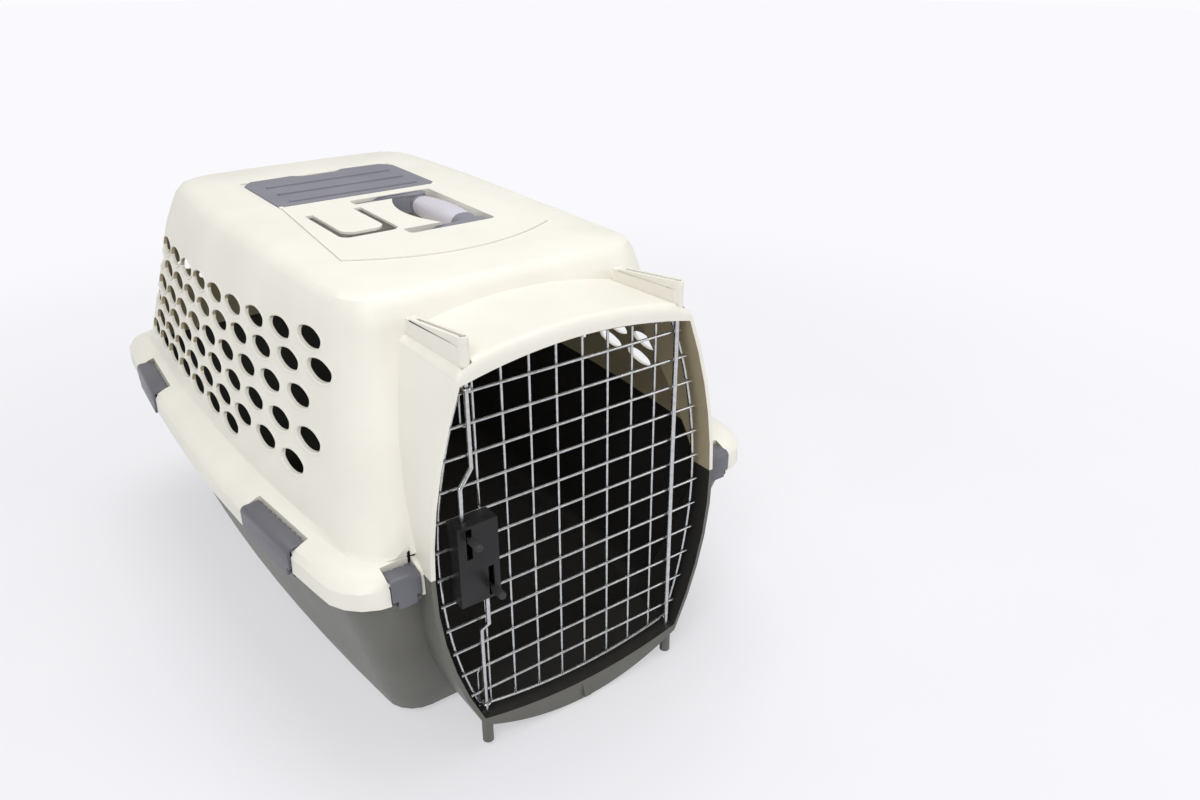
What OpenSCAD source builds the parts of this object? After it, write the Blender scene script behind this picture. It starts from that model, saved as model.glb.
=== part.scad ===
// Travel carrier for a bird or another small pet: a vented upper shell clipped to a
// lower tub, a barred wire door with a two-rod squeeze latch, a folding carry handle
// and a storage bin with a hinged lid.
// X runs across the carrier with the door hinge at +X, Y runs from the door to the
// back, Z is up. While the pieces are modelled, y = 0 is the plane of the door.

/* [Shells] */
// Height of the flat deck above the floor
deck_z = 396; // [388:1:404]
// Half width of the rim skirt at its widest
rim_half_w = 236; // [230:1:250]
// How far behind the door plane the rim ends
rim_back_y = 653; // [635:1:680]
// Height at which the two shells part
part_z = 200; // [198:1:202]
// Depth of the skirt below the parting height
skirt_drop = 17; // [14:1:18]
// Wall thickness of both shells
wall_t = 3.2; // [2.6:0.1:3.6]
// Thickness of the deck, which carries the handle
deck_t = 5; // [4.8:0.1:6]

/* [Snout] */
// Reach of the snout in front of the door plane
snout_reach = 12; // [11:0.5:16]
// Greatest half width of the snout
snout_half_w = 147; // [144:1:149]
// Height of the middle of the arch
arch_z = 375; // [372:1:378]
// Wall thickness of the snout
snout_t = 4; // [3:0.5:4.5]
// Height of the middle of the sill
sill_z = 24; // [20:1:25]

/* [Vents] */
// Length of a vent hole along the wall
vent_w = 42; // [36:1:43]
// Height of a vent hole
vent_h = 17; // [14:0.5:17.5]
// Spacing of the side vents at the front of a row
vent_pitch = 55.8; // [54:0.2:56]
// Spacing of the rear vents
rear_vent_pitch = 52; // [50:0.5:53]

/* [Door] */
// Sideways distance of the hinge rod and the latch rods from the middle
rod_x = 102; // [98:1:104]
// Diameter of the hinge rod
hinge_rod_d = 4.6; // [3.6:0.2:5]
// Diameter of the latch rods
latch_rod_d = 4; // [3:0.2:4.4]
// Diameter of the door's grid wires
grid_wire_d = 2.4; // [1.8:0.1:2.8]
// Diameter of the wire round the door
frame_wire_d = 3.2; // [2.6:0.2:3.4]
// Spacing of the upright wires
upright_pitch = 25.4; // [24:0.2:26]
// Spacing of the cross wires
cross_pitch = 26.16; // [25:0.02:26.2]
// Play round a shaft that turns or slides in a bore
fit = 0.1; // [0.05:0.01:0.1]

/* [Latch] */
// Width of the latch case
case_w = 36; // [36:0.5:38]
// Height of the latch case
case_h = 74; // [74:0.5:80]
// Depth of the latch case
case_d = 17; // [16:0.5:19]
// Travel of each rod from open to latched
latch_stroke = 5; // [3:0.5:5]
// Diameter of a rubber thumb cap
cap_d = 7; // [6:0.5:8]

/* [Top] */
// Distance between the two arms of the handle
handle_span = 132; // [120:2:134]
// Distance from the handle's pivot to its grip
handle_reach = 63; // [58:1:64]
// Diameter of the soft grip at its middle
grip_d = 26; // [20:1:27]
// Width of the storage lid
lid_w = 177; // [160:1:178]
// Depth of the storage bin
bin_depth = 50; // [30:1:80]

/* [Clips] */
// Length of each of the four side clips
side_clip_w = 88; // [60:2:92]
// Length of each of the two front clips
front_clip_w = 25; // [22:1:26]
// Diameter of the bar that a clip turns on
clip_bar_d = 4; // [3:0.2:4.2]

/* [Hidden] */

cream = "#eae6d8";
taupe = "#62625a";
slate = "#63646e";
steel = "#b9bcbc";
black = "#151617";
lilac = "#b9b8c6";

$fn = 32;

// An outline of the tub or hood at one height is written as
// [half width at the front, greatest half width, half width at the back,
//  front y, back y, front corner radius, back corner radius, y of the greatest width].
rim_line = [rim_half_w - 27, rim_half_w, rim_half_w - 18, -2, rim_back_y, 46, 44, 300];
foot_line = [rim_half_w - 52, rim_half_w - 29, rim_half_w - 41, 10, rim_back_y - 18, 56, 50, 330];
crease_line = [rim_half_w - 83, rim_half_w - 66, rim_half_w - 78, 76, rim_back_y - 45, 48, 46, 400];
deck_line = [rim_half_w - 97, rim_half_w - 100, rim_half_w - 110, 108, rim_back_y - 66, 26, 26, 380];
base_line = [rim_half_w - 88, rim_half_w - 65, rim_half_w - 68, 62, rim_back_y - 58, 30, 32, 430];

foot_z = part_z + 14;
crease_z = deck_z - 44;
skirt_z = part_z - skirt_drop;
shell_gap = 0.2;
rim_inset = wall_t + 0.5;
tub_inset = 10;
rim_flange_h = 8;

corner_steps = 5;
side_steps = 8;
back_bow = 3;

snout_mid_z = 190;
arch_corner = [snout_half_w - 34, arch_z - 14];
sill_corner = [snout_half_w - 39, 30];
lip_z = 3;
sill_rise = 13;
snout_root_y = 75.3;
arch_root_y = 99.4;

cross_y = -1.3;
rod_y = cross_y - grid_wire_d / 2 - hinge_rod_d / 2 - 0.02;
upright_y = cross_y + grid_wire_d + 0.02;
frame_y = cross_y + grid_wire_d / 2 + frame_wire_d / 2 + 0.02;
first_cross_z = arch_z - 29;
cross_count = 12;
upright_count = 8;
door_tip = 2;

// Arcs of the door's frame wire: the radius of each bow, and where the middle of it is
door_side_r = 430;
door_half_w = snout_half_w - snout_t - 10;
door_mid_z = snout_mid_z + 5;
door_top_z = arch_z - snout_t - 5;
door_bottom_z = sill_z + 5.5;
door_top_r = 492;
door_bottom_r = 480;

function lerp(a, b, t) = a * (1 - t) + b * t;
function shrink(line, d) = line - d * [1, 1, 1, -1, 1, 1, 1, 0];
function side_x(line, y) =
    y < line[7]
        ? line[1] - (line[1] - line[0]) * pow((line[7] - y) / (line[7] - line[3]), 2)
        : line[1] - (line[1] - line[2]) * pow((y - line[7]) / (line[4] - line[7]), 2);

// Half of an outline, from the front round +X to the back
function half_ring(line) =
    let (rf = max(line[5], 6), rr = max(line[6], 6))
    let (y0 = line[3] + rf, y1 = line[4] - rr)
    let (x0 = side_x(line, y0), x1 = side_x(line, y1))
    concat(
        [for (i = [0:corner_steps]) let (a = 90 * i / corner_steps)
            [x0 - rf + rf * sin(a), y0 - rf * cos(a)]],
        [for (i = [1:side_steps - 1]) let (y = lerp(y0, y1, i / side_steps)) [side_x(line, y), y]],
        [for (i = [0:corner_steps]) let (a = 90 * i / corner_steps)
            [x1 - rr + rr * cos(a), y1 + rr * sin(a)]],
        [[0.45 * x1, line[4] + back_bow]]);

function full_ring(line) =
    let (h = half_ring(line))
    concat(h, [for (i = [len(h) - 1:-1:0]) [-h[i][0], h[i][1]]]);

// A closed solid through outlines given as [height, outline], lowest first
module loft(levels) {
    n = len(full_ring(levels[0][1]));
    top = len(levels) - 1;
    points = [for (l = levels) for (p = full_ring(l[1])) [p[0], p[1], l[0]]];
    faces = concat(
        [[for (i = [0:n - 1]) i]],
        [for (k = [0:top - 1]) for (i = [0:n - 1]) let (j = (i + 1) % n)
            [k * n + i, (k + 1) * n + i, (k + 1) * n + j]],
        [for (k = [0:top - 1]) for (i = [0:n - 1]) let (j = (i + 1) % n)
            [k * n + i, (k + 1) * n + j, k * n + j]],
        [[for (i = [n - 1:-1:0]) top * n + i]]);
    polyhedron(points, faces);
}

// Half width of the snout's outside at a height
function snout_x(z) =
    z > snout_mid_z
        ? snout_half_w - (snout_half_w - arch_corner[0]) * pow((z - snout_mid_z) / (arch_corner[1] - snout_mid_z), 2)
        : snout_half_w - (snout_half_w - sill_corner[0]) * pow((snout_mid_z - z) / (snout_mid_z - sill_corner[1]), 2);

// Barrel-shaped outline of the snout in X and Z: inset d, with its bottom from
// the middle height zb, which rises by dz to the corners
module barrel(d, zb, dz) {
    steps = 10;
    zt = arch_corner[1] - d;
    zc = zb + dz;
    xt = snout_x(zt) - d;
    xb = snout_x(zc) - d;
    right = concat(
        [for (i = [0.5:steps]) let (x = xb * i / steps) [x, zb + dz * pow(x / xb, 2)]],
        [for (i = [0:steps]) let (z = lerp(zc, zt, i / steps)) [snout_x(z) - d, z]],
        [for (i = [steps - 0.5:-1:0]) let (x = xt * i / steps)
            [x, arch_z - d - (arch_z - arch_corner[1]) * pow(x / xt, 2)]]);
    polygon(concat(right, [for (i = [len(right) - 1:-1:0]) [-right[i][0], right[i][1]]]));
}

// Extrudes an X-Z outline from y0 to y1
module along_y(y0, y1) {
    translate([0, y1, 0])
        rotate([90, 0, 0])
            linear_extrude(y1 - y0)
                children();
}

module rod_between(a, b, d) {
    v = b - a;
    translate(a)
        rotate([0, acos(v[2] / norm(v)), atan2(v[1], v[0])])
            cylinder(d = d, h = norm(v), $fn = 24);
}

// A bent wire through the given points, with round knees
module bent_wire(points, d) {
    for (i = [0:len(points) - 2])
        rod_between(points[i], points[i + 1], d);
    for (i = [1:len(points) - 2])
        translate(points[i])
            sphere(d = d, $fn = 24);
}

// Clip seats round the rim: [x, y, direction outwards, clip length]
side_seat_y = 131;
rear_seat_y = 500;
front_seat_x = snout_half_w + 3.5 + front_clip_w / 2;
function rim_turn(y) =
    y < rim_line[7]
        ? -atan(2 * (rim_line[1] - rim_line[0]) * (rim_line[7] - y) / pow(rim_line[7] - rim_line[3], 2))
        : atan(2 * (rim_line[1] - rim_line[2]) * (y - rim_line[7]) / pow(rim_line[4] - rim_line[7], 2));
front_seat = [front_seat_x, rim_line[3], -90, front_clip_w];
side_seat = [side_x(rim_line, side_seat_y), side_seat_y, rim_turn(side_seat_y), side_clip_w];
rear_seat = [side_x(rim_line, rear_seat_y), rear_seat_y, rim_turn(rear_seat_y), side_clip_w];

// Puts a child, drawn with x outwards from the skirt's face, at a seat on +X
module at_seat(seat) {
    translate([seat[0], seat[1], 0])
        rotate([0, 0, seat[2]])
            children();
}

module at_all_seats() {
    for (s = [0, 1])
        mirror([s, 0, 0]) {
            at_seat(front_seat) { $clip_w = front_clip_w; children(); }
            at_seat(side_seat) { $clip_w = side_clip_w; children(); }
            at_seat(rear_seat) { $clip_w = side_clip_w; children(); }
        }
}

bar_x = -5.2;
bar_z = part_z - 19;
clip_side_play = 0.6;
clip_plate_x = -1.4;
clip_plate_t = 2.8;
hook_reach = 17;
hook_t = 3;
tongue_z = part_z + 2.5;

// Space that a clip takes out of the hood's skirt and ledge
module clip_notch(w) {
    translate([-3.3, -w / 2 - clip_side_play, skirt_z - 2])
        cube([12, w + 2 * clip_side_play, 40]);
    translate([-12, -w / 2 - clip_side_play, skirt_z - 2])
        cube([14, w + 2 * clip_side_play, part_z - skirt_z + 2]);
    translate([-hook_reach - 1.2, -w / 2 - clip_side_play, tongue_z])
        cube([30, w + 2 * clip_side_play, 20]);
}

// Two lugs and a bar below the tub's rim, which a clip turns on
module clip_bar(w) {
    lug_t = 4;
    for (s = [-1, 1])
        translate([bar_x, s * (w / 2 - lug_t / 2), bar_z])
            rotate([90, 0, 0]) {
                cylinder(d = clip_bar_d + 3.4, h = lug_t, center = true);
                translate([-5, 0, 0])
                    cube([10, 7, lug_t], center = true);
            }
    translate([bar_x, w / 2 - lug_t / 2, bar_z])
        rotate([90, 0, 0])
            cylinder(d = clip_bar_d, h = w - lug_t);
}

// A clip: barrel round the bar, outer plate, hook over the ledge, toothed finger edge
module clip(w) {
    lug_t = 4;
    barrel_w = w - 2 * lug_t - 1.2;
    hook_z = tongue_z + 0.3;
    color(slate)
    difference() {
        union() {
            translate([bar_x, barrel_w / 2, bar_z])
                rotate([90, 0, 0])
                    cylinder(d = clip_bar_d + 3.4, h = barrel_w);
            translate([bar_x, -barrel_w / 2, bar_z - 1.8])
                cube([clip_plate_x - bar_x + clip_plate_t, barrel_w, 3.6]);
            translate([clip_plate_x, -barrel_w / 2, bar_z - 1.8])
                cube([clip_plate_t, barrel_w, 12]);
            rotate([90, 0, 0])
                linear_extrude(w, center = true)
                    polygon(concat(
                        [[clip_plate_x, bar_z + 5.6], [clip_plate_x + clip_plate_t, bar_z + 5.6]],
                        [for (a = [0:15:90])
                            [clip_plate_x + clip_plate_t - 5 + 5 * cos(a), hook_z + hook_t - 5 + 5 * sin(a)]],
                        [[1 - hook_reach, hook_z + hook_t], [-hook_reach, hook_z + hook_t - 1],
                            [-hook_reach, hook_z], [clip_plate_x, hook_z]]));
        }
        translate([bar_x, w, bar_z])
            rotate([90, 0, 0])
                cylinder(d = clip_bar_d + 2 * fit, h = 2 * w);
        for (i = [0:floor(w / 9) - 1])
            translate([-hook_reach, (i + 0.5 - floor(w / 9) / 2) * 9, hook_z - 1])
                rotate([0, 0, 45])
                    cube([3, 3, 12], center = true);
    }
}

// A vent: an oval of two flat arcs joined by two round ends
vent_end_r = 4.8;
module oval(w, h) {
    end_x = w / 2 - vent_end_r;
    r = (end_x * end_x + h * h / 4 - vent_end_r * vent_end_r) / (h - 2 * vent_end_r);
    joint_x = end_x * r / (r - vent_end_r);
    intersection() {
        translate([0, h / 2 - r])
            circle(r, $fn = 64);
        translate([0, r - h / 2])
            circle(r, $fn = 64);
        square([2 * joint_x, h + 2], center = true);
    }
    for (s = [-1, 1])
        translate([s * end_x, 0])
            circle(vent_end_r, $fn = 20);
}

// Rows of side vents from the top down: [steps before the first hole, number of holes,
// height at the back, rise towards the front]. Holes stand a little closer towards the back.
vent_rows = [[0.43, 9, 332, 25], [0, 10, 310.5, 22.4], [0.5, 9, 289, 16.5],
    [0, 10, 270, 5], [0.37, 9, 250.5, -2.8], [2.85, 7, 234, -8]];
rear_vent_counts = [6, 5, 6, 5];
vent_first_y = 128.9;
vent_closing = 0.61;
vent_level_y = 430;
function vent_y(u) = vent_first_y + vent_pitch * u - vent_closing * u * u;
function vent_z(row, y) = row[2] + row[3] * pow(max(vent_level_y - y, 0) / 300, 2);
module side_vents() {
    for (row = vent_rows)
        for (i = [0:row[1] - 1]) {
            y = vent_y(row[0] + i);
            translate([0, y, vent_z(row, y)])
                rotate([90, 0, 90])
                    linear_extrude(2 * rim_half_w, center = true)
                        oval(vent_w, vent_h);
        }
}
module rear_vents() {
    for (k = [0:len(rear_vent_counts) - 1])
        for (i = [0:rear_vent_counts[k] - 1])
            translate([(i - (rear_vent_counts[k] - 1) / 2) * rear_vent_pitch, rim_back_y, vent_rows[k][2]])
                rotate([90, 0, 0])
                    linear_extrude(86)
                        oval(vent_w, vent_h);
}

// Outline of the hood between its foot and its deck
function hood_line(z) =
    z <= crease_z
        ? lerp(foot_line, crease_line, (z - foot_z) / (crease_z - foot_z))
        : lerp(crease_line, deck_line, lookup((z - crease_z) / (deck_z - crease_z),
            [[0, 0], [0.45, 0.26], [0.77, 0.47], [0.93, 0.67], [1, 1]]));
hood_heights = [foot_z, foot_z + 34, foot_z + 70, foot_z + 106, crease_z,
    lerp(crease_z, deck_z, 0.45), lerp(crease_z, deck_z, 0.77), lerp(crease_z, deck_z, 0.93), deck_z];
function inside_z(z) =
    z <= crease_z ? z : z - deck_t * (z - crease_z) / (deck_z - crease_z);

// Sockets on the snout's roof that take the ends of the hinge rod and the upper latch rod
socket_w = 9;
socket_back_y = 80;
socket_front_z = deck_z - 10;
socket_back_z = deck_z - 15;
socket_foot_z = arch_z - 16;
socket_slot_w = 3;
socket_slot_z = deck_z - 21;
keeper_d = 6.4;
module rod_socket() {
    difference() {
        union() {
            translate([0, rod_y, socket_foot_z])
                cylinder(d = socket_w, h = socket_front_z - socket_foot_z);
            translate([-socket_w / 2, 0, 0])
                rotate([90, 0, 90])
                    linear_extrude(socket_w)
                        polygon([[rod_y, socket_foot_z], [socket_back_y, socket_foot_z],
                            [socket_back_y, socket_back_z], [rod_y, socket_front_z]]);
        }
        translate([-socket_slot_w / 2, rod_y, socket_slot_z])
            cube([socket_slot_w, socket_back_y - rod_y - 8, 20]);
    }
}

// Top insert outline: straight back edge, slightly flared sides and a bowed front
panel_back_y = 394;
panel_front_y = 198;
panel_half_back = 88;
panel_half_front = 107;
panel_bow = 33;
panel_top_z = deck_z + 1.3;
panel_t = 2.5;
module panel_shape(d) {
    xf = panel_half_front - d;
    polygon(concat(
        [[panel_half_back - d, panel_back_y], [-panel_half_back + d, panel_back_y]],
        [for (i = [-8:8]) let (x = xf * i / 8)
            [x, panel_front_y + d - panel_bow * (1 - pow(x / xf, 2))]]));
}

// Handle, folded flat to +X
pivot_x = -12;
pivot_z = deck_z - 10;
handle_mid_y = 306;
arm_t = 7;
eye_d = 16;
grip_x = pivot_x + handle_reach;
grip_len = 104;
well_play = 2;
well_t = 2;
well_floor_z = pivot_z - grip_d / 2 - 3;
well_x0 = pivot_x - eye_d / 2 - well_play;
well_x1 = grip_x + grip_d / 2 + 6;
well_y0 = handle_mid_y - handle_span / 2 - arm_t / 2 - well_play;
well_y1 = handle_mid_y + handle_span / 2 + arm_t / 2 + well_play;
island_y0 = well_y0 + arm_t + 2 * well_play + 6;
island_y1 = well_y1 - arm_t - 2 * well_play - 6;
island_x = 19;
island_dip = 14;

// The well's outline in X and Y, m larger all round, with the island left standing
module well_shape(m) {
    difference() {
        rounded(well_x0 - m, well_y0 - m, well_x1 + m, well_y1 + m, 5 + m);
        polygon(concat(
            [[well_x0 - 20, island_y0 + m], [well_x0 - 20, island_y1 - m]],
            [for (i = [8:-1:-8]) let (u = i / 8)
                [island_x - m - island_dip * (1 - u * u),
                    (island_y0 + island_y1) / 2 + u * ((island_y1 - island_y0) / 2 - m)]]));
    }
}

// Belt slot in the top: a U of gaps round a tongue that is joined at its back
belt_x0 = -81;
belt_x1 = -22;
belt_y0 = 255;
belt_y1 = 348;
belt_leg = 8;
belt_bar = 15;
belt_outer_r = 10;
belt_tongue_r = 13;
module rounded(x0, y0, x1, y1, r) {
    translate([x0 + r, y0])
        square([x1 - x0 - 2 * r, y1 - y0]);
    translate([x0, y0 + r])
        square([x1 - x0, y1 - y0 - 2 * r]);
    for (x = [x0 + r, x1 - r])
        for (y = [y0 + r, y1 - r])
            translate([x, y])
                circle(r);
}
module belt_slot() {
    intersection() {
        difference() {
            rounded(belt_x0, belt_y0, belt_x1, belt_y1 + 30, belt_outer_r);
            rounded(belt_x0 + belt_leg, belt_y0 + belt_bar, belt_x1 - belt_leg, belt_y1 + 60, belt_tongue_r);
        }
        translate([belt_x0, belt_y0])
            square([belt_x1 - belt_x0, belt_y1 - belt_y0]);
    }
}

// Storage bin and its lid
lid_x = lid_w / 2;
lid_front_y = panel_back_y + 2;
lid_back_y = 520;
lid_t = 2.7;
lid_play = 0.6;
lid_hinge_y = lid_front_y + 2;
lid_hinge_z = deck_z - 1.8;
lid_pin_d = 2.5;
lid_bar_d = 6;
lid_bar_x = lid_x - 4.6;
lid_groove_r = lid_bar_d / 2 + 1;
bin_x = lid_x - 6;
bin_y0 = lid_hinge_y + 7;
bin_y1 = lid_back_y - 6;
bin_t = 2;
flange_z = deck_z - 3.3;
flange_top_z = panel_top_z - lid_t - 0.2;
lid_corner = 16;

module lid_shape(d) {
    x = lid_x - d;
    y0 = lid_front_y + d;
    y1 = lid_back_y - d;
    polygon([[x, y0], [x, y1 - lid_corner], [x - lid_corner * 0.7, y1 - 2], [30 + d, y1],
        [20 + d, y1 - 8], [-20 - d, y1 - 8], [-30 - d, y1], [-x + lid_corner * 0.7, y1 - 2],
        [-x, y1 - lid_corner], [-x, y0]]);
}
module bin_flange_shape(d) {
    translate([-lid_x - d, panel_back_y - 4])
        square([2 * (lid_x + d), lid_back_y + 1 - panel_back_y + 4 + d]);
}

// Latch: both rods run on one line at the door's edge and jog to their own line in the case
latch_y = rod_y - 6.2;
upper_rod_x = -rod_x - 14;
lower_rod_x = -rod_x + 4;
case_x0 = -rod_x - 24;
case_front_y = latch_y - case_d / 2 - 1.2;
case_back_y = cross_y - grid_wire_d / 2 - 1.3;
case_mid_z = 206.5;
case_z0 = case_mid_z - case_h / 2;
case_z1 = case_mid_z + case_h / 2;
case_t = 1.8;
back_plate_t = 1.1;
case_mid_x = (upper_rod_x + lower_rod_x) / 2;
slot_w = latch_rod_d + 1.2;
squeeze = 8;
upper_thumb_z = case_z1 - latch_stroke - latch_rod_d / 2 - 3.6;
lower_thumb_z = case_z0 + latch_stroke + latch_rod_d / 2 + 3.6;
shelf_t = 1.6;
upper_shelf_z = case_z0 + 24;
lower_shelf_z = case_z1 - 24;
cap_start_y = case_front_y - 3.5;
cap_len = 15;
cap_end_y = cap_start_y - cap_len;
wire_end_y = cap_end_y + 2.5;

// The finished carrier stands with the middle of its length, thumb caps included, at y = 0
mid_y = (cap_end_y + rim_back_y + back_bow) / 2;
module placed() {
    translate([0, -mid_y, 0])
        children();
}

// Height of the snout's underside and of the sill over the rods
arch_under_z = arch_z - snout_t - (arch_z - arch_corner[1]) * pow(rod_x / (snout_x(arch_corner[1] - snout_t) - snout_t), 2);
sill_x = snout_x(sill_z + sill_rise) - snout_t;
sill_rod_z = sill_z + sill_rise * pow((rod_x + 5) / sill_x, 2);

module lower_shell() {
    tub = shrink(rim_line, tub_inset);
    heights = [10, 30, 60, 100, 140, skirt_z];
    outer = concat(
        [[0, shrink(base_line, 9)], [2.5, shrink(base_line, 3.5)]],
        [for (z = heights) [z, lerp(base_line, tub, pow(z / skirt_z, 0.92))]],
        [[part_z - rim_flange_h - 1.6, tub],
            [part_z - rim_flange_h, shrink(rim_line, rim_inset)],
            [part_z + 3, shrink(rim_line, rim_inset)]]);
    inner = concat(
        [[wall_t, shrink(base_line, 9 + wall_t)], [2.5 + wall_t, shrink(base_line, 3.5 + wall_t)]],
        [for (z = heights) [z + max(0, wall_t - z * 0.05),
            shrink(lerp(base_line, tub, pow(z / skirt_z, 0.92)), wall_t)]],
        [[part_z + 5, shrink(tub, wall_t)]]);
    color(taupe)
    placed()
    difference() {
        union() {
            loft(outer);
            difference() {
                along_y(-snout_reach, snout_root_y)
                    barrel(0, lip_z, sill_corner[1] - lip_z);
                translate([-sill_x + 16, -snout_reach + wall_t, 0])
                    cube([2 * sill_x - 32, 90, sill_z - wall_t]);
            }
            for (s = [-1, 1])
                translate([s * rod_x, rod_y, 5])
                    cylinder(d = 10, h = sill_rod_z - 6);
            translate([rod_x, rod_y, sill_rod_z - 4])
                cylinder(d = 9, h = 6);
            translate([0, -snout_reach, 0])
                rotate([90, 0, 90])
                    linear_extrude(7, center = true)
                        polygon([[0.5, lip_z + 3], [-4, lip_z + 4], [0.5, sill_z - 2]]);
            at_all_seats()
                clip_bar($clip_w);
        }
        loft(inner);
        along_y(-snout_reach - 1, snout_root_y + 7)
            barrel(snout_t, sill_z, sill_rise);
        translate([-rim_half_w, -snout_reach - 1, part_z - shell_gap])
            cube([2 * rim_half_w, rim_back_y + 50, arch_z]);
        translate([rod_x, rod_y, 14])
            cylinder(d = hinge_rod_d + 2 * fit, h = 40);
        translate([-rod_x, rod_y, 14])
            cylinder(d = keeper_d, h = 40);
    }
}

module upper_shell() {
    outer = concat(
        [[skirt_z, rim_line], [part_z - 2, shrink(rim_line, 0.5)], [part_z + 4, shrink(rim_line, 4.5)],
            [part_z + 8, shrink(rim_line, 13)], [part_z + 10.5, lerp(shrink(rim_line, 22), foot_line, 0.3)]],
        [for (z = hood_heights) [z, hood_line(z)]]);
    inner = concat(
        [[part_z - 1, shrink(foot_line, wall_t)]],
        [for (z = hood_heights) [inside_z(z), shrink(hood_line(z), wall_t)]]);
    color(cream)
    placed()
    difference() {
        union() {
            difference() {
                loft(outer);
                loft([[skirt_z - 1, shrink(rim_line, wall_t)], [part_z, shrink(rim_line, wall_t)]]);
                translate([-snout_half_w - 0.4, -snout_reach, skirt_z - 2])
                    cube([2 * snout_half_w + 0.8, snout_reach + 6, part_z - skirt_z + 2]);
            }
            difference() {
                along_y(-snout_reach, arch_root_y)
                    barrel(0, lip_z, sill_corner[1] - lip_z);
                translate([-rim_half_w, -snout_reach - 1, 0])
                    cube([2 * rim_half_w, arch_root_y + 20, part_z]);
            }
            for (s = [-1, 1])
                translate([s * rod_x, 0, 0])
                    rod_socket();
        }
        loft(inner);
        along_y(-snout_reach - 1, arch_root_y + 9)
            barrel(snout_t, sill_z, sill_rise);
        translate([rod_x, rod_y, arch_z - 20])
            cylinder(d = hinge_rod_d + 2 * fit, h = socket_front_z - arch_z + 40);
        translate([-rod_x, rod_y, arch_z - 20])
            cylinder(d = keeper_d, h = socket_front_z - arch_z + 40);
        side_vents();
        rear_vents();
        at_all_seats()
            clip_notch($clip_w);
        translate([0, 0, panel_top_z - panel_t - 0.05])
            linear_extrude(20)
                panel_shape(-0.4);
        translate([0, 0, flange_z - 0.05])
            linear_extrude(20)
                bin_flange_shape(0.5);
        translate([0, 0, deck_z - 20])
            linear_extrude(40)
                difference() {
                    panel_shape(9);
                    translate([-panel_half_front, panel_front_y - panel_bow])
                        square([2 * panel_half_front, well_y0 - 14 - panel_front_y + panel_bow]);
                }
        translate([-bin_x - 1, panel_back_y - 12, deck_z - 20])
            cube([2 * bin_x + 2, bin_y1 + bin_t + 0.6 - panel_back_y + 12, 40]);
        translate([-lid_x - 0.4, lid_hinge_y - lid_bar_d / 2 - 0.4, deck_z - 20])
            cube([2 * lid_x + 0.8, lid_bar_d + 0.8, 40]);
    }
}

module top_panel() {
    color(cream)
    placed()
    difference() {
        union() {
            translate([0, 0, panel_top_z - panel_t])
                linear_extrude(panel_t)
                    panel_shape(0);
            translate([0, 0, flange_z])
                linear_extrude(flange_top_z - flange_z)
                    bin_flange_shape(0);
            translate([-bin_x, panel_back_y - 4, flange_z])
                cube([2 * bin_x, 4, panel_top_z - flange_z]);
            translate([-bin_x - 0.4, panel_back_y - 4, lid_hinge_z - 6])
                cube([2 * bin_x + 0.8, bin_y0 - panel_back_y + 4, flange_top_z - lid_hinge_z + 6]);
            translate([0, 0, well_floor_z - well_t])
                linear_extrude(panel_top_z - well_floor_z)
                    well_shape(well_t);
            translate([-bin_x, bin_y0 - bin_t, flange_top_z - bin_depth])
                cube([2 * bin_x, bin_y1 - bin_y0 + 2 * bin_t, bin_depth]);
            for (s = [-1, 1])
                translate([s * (lid_x - 2.1), lid_hinge_y, lid_hinge_z])
                    rotate([0, 90, 0])
                        cylinder(d = lid_bar_d, h = 3.8, center = true);
        }
        translate([0, 0, well_floor_z])
            linear_extrude(60)
                well_shape(0);
        translate([-bin_x + bin_t, bin_y0, flange_top_z - bin_depth + bin_t])
            cube([2 * (bin_x - bin_t), bin_y1 - bin_y0, bin_depth + 20]);
        translate([0, 0, deck_z - 10])
            linear_extrude(30)
                belt_slot();
        translate([0, lid_hinge_y, lid_hinge_z])
            rotate([0, 90, 0])
                cylinder(r = lid_groove_r, h = 2 * lid_bar_x + 0.8, center = true);
        translate([-lid_bar_x - 0.4, lid_hinge_y - lid_groove_r, lid_hinge_z])
            cube([2 * lid_bar_x + 0.8, 2 * lid_groove_r, 20]);
        translate([0, lid_hinge_y, lid_hinge_z])
            rotate([0, 90, 0])
                cylinder(d = lid_pin_d + 2 * fit, h = 2 * lid_x + 10, center = true);
        for (y = [handle_mid_y - handle_span / 2, handle_mid_y + handle_span / 2])
            translate([pivot_x, y, pivot_z])
                rotate([90, 0, 0])
                    cylinder(d = pin_d + 0.1, h = arm_t + 2 * well_play + 2 * well_t + 2, center = true);
    }
}

pin_d = 5;
pin_len = arm_t + 2 * well_play + 2 * well_t;
module handle_pins() {
    color(steel)
    placed()
    for (y = [handle_mid_y - handle_span / 2, handle_mid_y + handle_span / 2])
        translate([pivot_x, y, pivot_z])
            rotate([90, 0, 0])
                cylinder(d = pin_d, h = pin_len, center = true);
}

module lid_hinge_pin() {
    color(steel)
    placed()
    translate([0, lid_hinge_y, lid_hinge_z])
        rotate([0, 90, 0])
            cylinder(d = lid_pin_d, h = 2 * lid_x - 1, center = true);
}

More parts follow.
